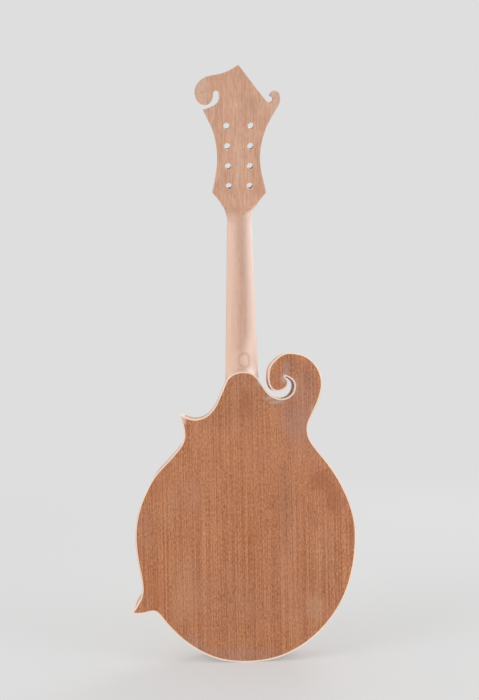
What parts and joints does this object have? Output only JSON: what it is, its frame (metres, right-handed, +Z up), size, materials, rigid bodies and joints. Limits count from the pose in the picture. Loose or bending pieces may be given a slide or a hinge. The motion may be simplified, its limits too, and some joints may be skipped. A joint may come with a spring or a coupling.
{
  "type": "mandolin",
  "caption": "Unfinished carved mandolin with a scroll body, two points, arched plates, f-holes and a slotted scroll headstock with bare tuner holes.",
  "frame": {"origin": "on the centre line at the fingerboard end of the nut, on the front face of the neck, where a hanger's yoke holds the instrument", "axes": "+Z up the neck towards the headstock, +Y towards the front of the body, +X towards the bass side, which carries the scroll"},
  "size_m": [0.2591, 0.0945, 0.6821],
  "materials": {
    "back_wood": "sanded, unfinished",
    "top_wood": "sanded, unfinished",
    "rib_wood": "sanded, unfinished",
    "neck_wood": "sanded, unfinished",
    "ear_wood": "sanded, unfinished",
    "binding": "scraped",
    "ebony": "fine sanded",
    "board_wood": "fine sanded",
    "block_wood": "raw",
    "lining_wood": "raw",
    "bone": "polished",
    "fret_metal": "polished",
    "pearl": "polished",
    "side_mark": "plain",
    "steel": "plain",
    "cover_laminate": "satin",
    "screw_metal": "plain"
  },
  "bodies": {
    "instrument": {"back_plate": "back_wood", "top_plate": "top_wood", "back_binding": "binding", "top_binding": "binding", "rib_bass": "rib_wood", "rib_scroll_slot": "rib_wood", "rib_treble_upper": "rib_wood", "rib_treble_middle": "rib_wood", "rib_treble_lower": "rib_wood", "head_block": "block_wood", "scroll_block": "block_wood", "tail_block": "block_wood", "upper_point_block": "block_wood", "lower_point_block": "block_wood", "upper_point_protector": "binding", "lower_point_protector": "binding", "tone_bar_bass": "block_wood", "tone_bar_treble": "block_wood", "fingerboard_support": "neck_wood", "neck": "neck_wood", "headstock_ear_left": "ear_wood", "headstock_ear_corner": "ear_wood", "headstock_ear_right": "ear_wood", "headstock_veneer": "ebony", "nut": "bone", "truss_rod_anchor": "steel", "truss_rod_filler": "block_wood", "truss_rod_cover": "cover_laminate", "cover_screws": "screw_metal", "fingerboard": "board_wood", "fingerboard_binding": "binding", "frets": "fret_metal", "position_dots": "pearl", "side_dots": "side_mark", "back_lining_bass": "lining_wood", "back_lining_treble_upper": "lining_wood", "back_lining_treble_middle": "lining_wood", "back_lining_treble_lower": "lining_wood", "top_lining_bass": "lining_wood", "top_lining_treble_upper": "lining_wood", "top_lining_treble_middle": "lining_wood", "top_lining_treble_lower": "lining_wood"},
    "truss_rod": {"truss_rod_adjuster": "steel"}
  },
  "joints": [
    {"name": "truss_rod_turn", "type": "hinge", "parent": "instrument", "child": "truss_rod", "pos_m": [0, -0.00548, -0.00043], "axis": [0, -0.0785, 0.9969], "range_deg": [-180, 180]}
  ]
}
